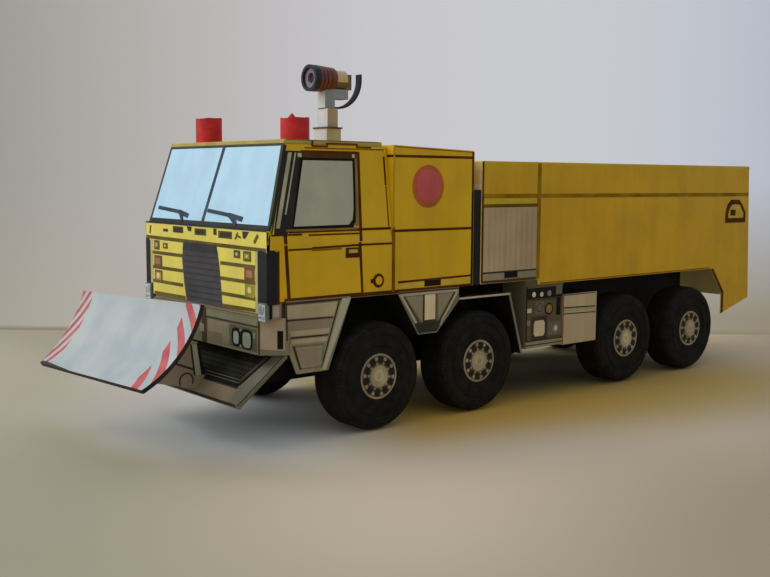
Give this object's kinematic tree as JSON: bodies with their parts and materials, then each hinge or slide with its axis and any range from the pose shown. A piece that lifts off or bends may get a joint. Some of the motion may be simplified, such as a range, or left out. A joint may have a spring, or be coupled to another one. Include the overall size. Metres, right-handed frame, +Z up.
{
  "type": "card model of a wildland fire truck",
  "caption": "Folded-card scale model of a long wildland fire truck with a front blade, roof monitor, beacons and a long tank body; its axles turn.",
  "frame": {"origin": "on the floor under the middle of the model's bounding box", "axes": "+X forward, +Y to the model's left, +Z up"},
  "size_m": [0.2276, 0.0609, 0.0904],
  "materials": {
    "yellow_card": "matt printed card",
    "grey_card": "matt printed card",
    "black_card": "matt black card",
    "white_board": "matt printed board",
    "red_paper": "matt coloured paper",
    "brown_paper": "matt printed paper",
    "tan_paper": "matt printed paper",
    "wood_rod": "plain wooden stick"
  },
  "bodies": {
    "truck": {"axle_tube_1": "black_card", "axle_tube_2": "black_card", "axle_tube_3": "black_card", "axle_tube_4": "black_card", "beacon_left": "red_paper", "beacon_right": "red_paper", "blade": "white_board", "bumper": "grey_card", "cab_roof": "yellow_card", "cab_shell": "yellow_card", "chassis_beam": "black_card", "crew_module": "yellow_card", "module_spacer": "black_card", "monitor_barrel": "brown_paper", "monitor_base": "grey_card", "monitor_breech": "tan_paper", "monitor_guide": "black_card", "monitor_muzzle": "black_card", "monitor_post": "grey_card", "monitor_yoke": "grey_card", "mudguard_left": "grey_card", "mudguard_right": "grey_card", "pump_panel_left": "grey_card", "pump_panel_right": "grey_card", "push_arm": "grey_card", "skid_plate": "grey_card", "step_panel_left": "grey_card", "step_panel_right": "grey_card", "stowage_box_left": "grey_card", "stowage_box_right": "grey_card", "tank_body": "yellow_card", "valance_left": "grey_card", "valance_right": "grey_card"},
    "axle_1": {"axle_rod_1": "wood_rod", "tyre_1_left": "black_card", "tyre_1_right": "black_card"},
    "axle_2": {"axle_rod_2": "wood_rod", "tyre_2_left": "black_card", "tyre_2_right": "black_card"},
    "axle_3": {"axle_rod_3": "wood_rod", "tyre_3_left": "black_card", "tyre_3_right": "black_card"},
    "axle_4": {"axle_rod_4": "wood_rod", "tyre_4_left": "black_card", "tyre_4_right": "black_card"}
  },
  "joints": [
    {"name": "axle_1_spin", "type": "hinge", "parent": "truck", "child": "axle_1", "pos_m": [0.05225, 0, 0.0133], "axis": [0, 1, 0], "continuous": true},
    {"name": "axle_2_spin", "type": "hinge", "parent": "truck", "child": "axle_2", "pos_m": [0.01795, 0, 0.0133], "axis": [0, 1, 0], "continuous": true},
    {"name": "axle_3_spin", "type": "hinge", "parent": "truck", "child": "axle_3", "pos_m": [-0.04495, 0, 0.0133], "axis": [0, 1, 0], "continuous": true},
    {"name": "axle_4_spin", "type": "hinge", "parent": "truck", "child": "axle_4", "pos_m": [-0.07875, 0, 0.0133], "axis": [0, 1, 0], "continuous": true}
  ]
}
